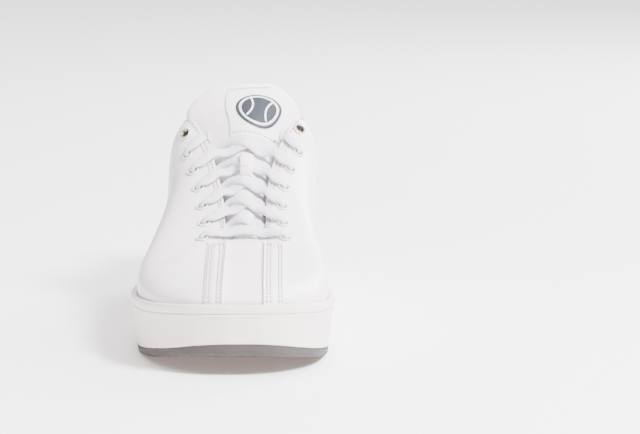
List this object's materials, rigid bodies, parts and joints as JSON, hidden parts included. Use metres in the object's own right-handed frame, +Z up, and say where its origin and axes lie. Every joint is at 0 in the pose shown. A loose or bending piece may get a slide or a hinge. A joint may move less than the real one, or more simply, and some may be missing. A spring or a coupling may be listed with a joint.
{
  "type": "court shoe",
  "caption": "Low-cut white leather court shoe for the right foot, with a rubber cup sole, padded collar, laced throat and a padded tongue that flexes.",
  "frame": {"origin": "on the ground under the middle of the shoe, half way between the toe and the heel", "axes": "-Y towards the toe, +Y towards the heel, +Z up, -X towards the outer side of a right foot"},
  "size_m": [0.1051, 0.295, 0.1248],
  "materials": {
    "white_leather": "smooth, lightly grained, semi-matte",
    "white_rubber": "smooth moulded, matte",
    "grey_rubber": "moulded, matte",
    "blue_lining": "brushed knitted textile",
    "foam": "open cell foam, hidden",
    "board": "pressed fibre board, hidden",
    "stiffener": "resin-stiffened textile, hidden",
    "white_lace": "flat tubular braid, matte",
    "white_enamel": "white enamel",
    "aged_nickel": "worn warm nickel plating",
    "grey_emblem": "moulded, satin",
    "clear_tip": "translucent film tube"
  },
  "bodies": {
    "shoe": {"outsole": "grey_rubber", "cupsole": "white_rubber", "midsole_core": "foam", "lasting_board": "board", "sock_liner": "blue_lining", "heel_strip": "white_rubber", "vamp": "white_leather", "quarter_outer": "white_leather", "quarter_inner": "white_leather", "toe_puff": "stiffener", "eyestay_tape_outer": "stiffener", "eyestay_tape_inner": "stiffener", "heel_counter": "stiffener", "collar_foam": "foam", "vamp_lining": "blue_lining", "quarter_lining": "blue_lining", "toe_strap_outer": "white_leather", "toe_strap_inner": "white_leather", "heel_stay": "white_leather", "collar_binding": "white_leather", "eyelet_outer_1": "white_enamel", "eyelet_outer_2": "white_enamel", "eyelet_outer_3": "white_enamel", "eyelet_outer_4": "white_enamel", "eyelet_outer_5": "white_enamel", "eyelet_outer_6": "white_enamel", "eyelet_outer_7": "aged_nickel", "eyelet_inner_1": "white_enamel", "eyelet_inner_2": "white_enamel", "eyelet_inner_3": "white_enamel", "eyelet_inner_4": "white_enamel", "eyelet_inner_5": "white_enamel", "eyelet_inner_6": "white_enamel", "eyelet_inner_7": "aged_nickel", "tongue_face_lower": "white_leather", "tongue_foam_lower": "foam", "tongue_lining_lower": "blue_lining", "lace_keeper": "white_leather", "shoelace": "white_lace", "lace_tail_inner": "white_lace", "aglet_inner": "clear_tip", "lace_tail_outer": "white_lace", "aglet_outer": "clear_tip"},
    "tongue_flap": {"tongue_face_flap": "white_leather", "tongue_foam_flap": "foam", "tongue_lining_flap": "blue_lining", "tongue_label": "white_leather", "tongue_emblem": "grey_emblem", "size_label": "blue_lining"}
  },
  "joints": [
    {"name": "tongue_flex", "type": "hinge", "parent": "shoe", "child": "tongue_flap", "pos_m": [0.0019, 0.024, 0.09], "axis": [1, 0, 0], "range_deg": [-10, 9], "stiffness_Nm_per_rad": 0.3}
  ]
}
